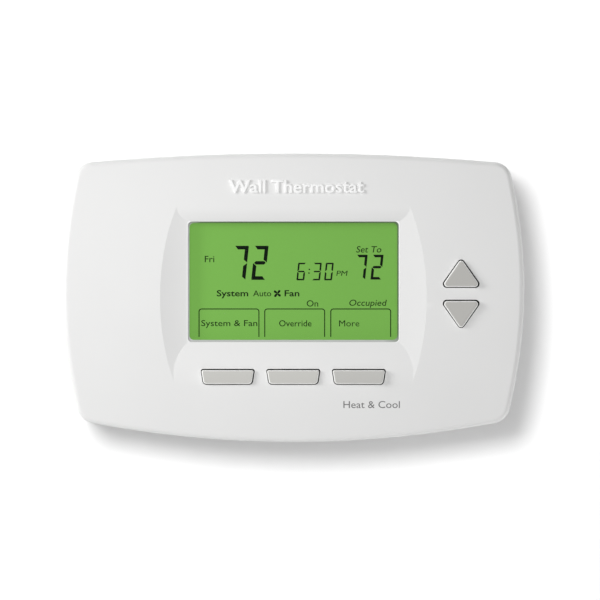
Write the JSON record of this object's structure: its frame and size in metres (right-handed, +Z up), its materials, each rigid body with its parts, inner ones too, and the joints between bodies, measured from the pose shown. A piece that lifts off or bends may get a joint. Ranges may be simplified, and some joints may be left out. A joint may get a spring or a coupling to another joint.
{
  "type": "wall thermostat",
  "caption": "Wide programmable wall thermostat with a lit display, push keys, a pull-out battery tray and a screw-on wall plate.",
  "frame": {"origin": "on the wall face of the wall plate, midway between its two screw slots", "axes": "+X to the right seen from the room, +Y into the wall, +Z up; the front faces -Y"},
  "size_m": [0.1524, 0.0355, 0.0952],
  "materials": {
    "white_case": "white moulded plastic with a very fine satin texture",
    "clear_window": "clear moulded plastic window, polished",
    "dark_frame": "dark moulded plastic",
    "display_glass": "lit green liquid crystal display with dark segments",
    "polariser_film": "tinted film",
    "contact_rubber": "layered conductive rubber",
    "green_light": "frosted clear plastic lit green from the side",
    "white_film": "white reflecting film",
    "soft_key_grey": "warm grey moulded plastic, satin",
    "arrow_key_grey": "warm grey moulded plastic, satin",
    "silicone": "soft grey silicone",
    "carbon_rubber": "carbon-loaded rubber",
    "board_green": "solder-masked glass epoxy",
    "relay_case": "glossy blue relay case",
    "chip_black": "black moulding compound",
    "capacitor_sleeve": "dark blue shrink sleeve",
    "tinned_metal": "bright tin plate",
    "screw_steel": "zinc-plated steel",
    "contact_brass": "brass",
    "wall_plate_white": "white moulded plastic",
    "terminal_grey": "dark grey moulded plastic",
    "battery_label": "plain printed sleeve on a steel can"
  },
  "bodies": {
    "wall_base": {"wall_plate": "wall_plate_white", "left_terminal_block": "terminal_grey", "right_terminal_block": "terminal_grey", "terminal_screws": "screw_steel", "terminal_contacts": "contact_brass", "jumper_link": "tinned_metal"},
    "thermostat": {"front_cover": "white_case", "rear_cover": "white_case", "display_window": "clear_window", "display_frame": "dark_frame", "lcd_panel": "display_glass", "front_polariser": "polariser_film", "rear_polariser": "polariser_film", "upper_contact_strip": "contact_rubber", "lower_contact_strip": "contact_rubber", "light_guide": "green_light", "reflector_sheet": "white_film", "backlight_leds": "green_light", "keypad_mat": "silicone", "circuit_board": "board_green", "relays": "relay_case", "microcontroller": "chip_black", "capacitor": "capacitor_sleeve", "crystal": "tinned_metal", "temperature_sensor": "chip_black", "left_header": "chip_black", "right_header": "chip_black", "header_pins": "tinned_metal", "board_screws": "screw_steel", "case_screws": "screw_steel", "battery_contacts": "tinned_metal", "left_soft_key_dome": "silicone", "middle_soft_key_dome": "silicone", "right_soft_key_dome": "silicone", "up_key_dome": "silicone", "down_key_dome": "silicone"},
    "battery_tray": {"battery_tray": "white_case", "batteries": "battery_label"},
    "left_soft_key": {"left_soft_key": "soft_key_grey", "left_soft_key_carbon_pill": "carbon_rubber"},
    "middle_soft_key": {"middle_soft_key": "soft_key_grey", "middle_soft_key_carbon_pill": "carbon_rubber"},
    "right_soft_key": {"right_soft_key": "soft_key_grey", "right_soft_key_carbon_pill": "carbon_rubber"},
    "up_key": {"up_key": "arrow_key_grey", "up_key_carbon_pill": "carbon_rubber"},
    "down_key": {"down_key": "arrow_key_grey", "down_key_carbon_pill": "carbon_rubber"}
  },
  "joints": [
    {"name": "thermostat_pull_off", "type": "slide", "parent": "wall_base", "child": "thermostat", "axis": [0, -1, 0], "range_m": [0, 0.03]},
    {"name": "battery_tray_slide", "type": "slide", "parent": "thermostat", "child": "battery_tray", "axis": [1, 0, 0], "range_m": [0, 0.036]},
    {"name": "left_soft_key_press", "type": "slide", "parent": "thermostat", "child": "left_soft_key", "axis": [0, 1, 0], "range_m": [0, 0.0009], "stiffness_N_per_m": 1200, "deforming": ["left_soft_key_dome"]},
    {"name": "middle_soft_key_press", "type": "slide", "parent": "thermostat", "child": "middle_soft_key", "axis": [0, 1, 0], "range_m": [0, 0.0009], "stiffness_N_per_m": 1200, "deforming": ["middle_soft_key_dome"]},
    {"name": "right_soft_key_press", "type": "slide", "parent": "thermostat", "child": "right_soft_key", "axis": [0, 1, 0], "range_m": [0, 0.0009], "stiffness_N_per_m": 1200, "deforming": ["right_soft_key_dome"]},
    {"name": "up_key_press", "type": "slide", "parent": "thermostat", "child": "up_key", "axis": [0, 1, 0], "range_m": [0, 0.0009], "stiffness_N_per_m": 1200, "deforming": ["up_key_dome"]},
    {"name": "down_key_press", "type": "slide", "parent": "thermostat", "child": "down_key", "axis": [0, 1, 0], "range_m": [0, 0.0009], "stiffness_N_per_m": 1200, "deforming": ["down_key_dome"]}
  ]
}
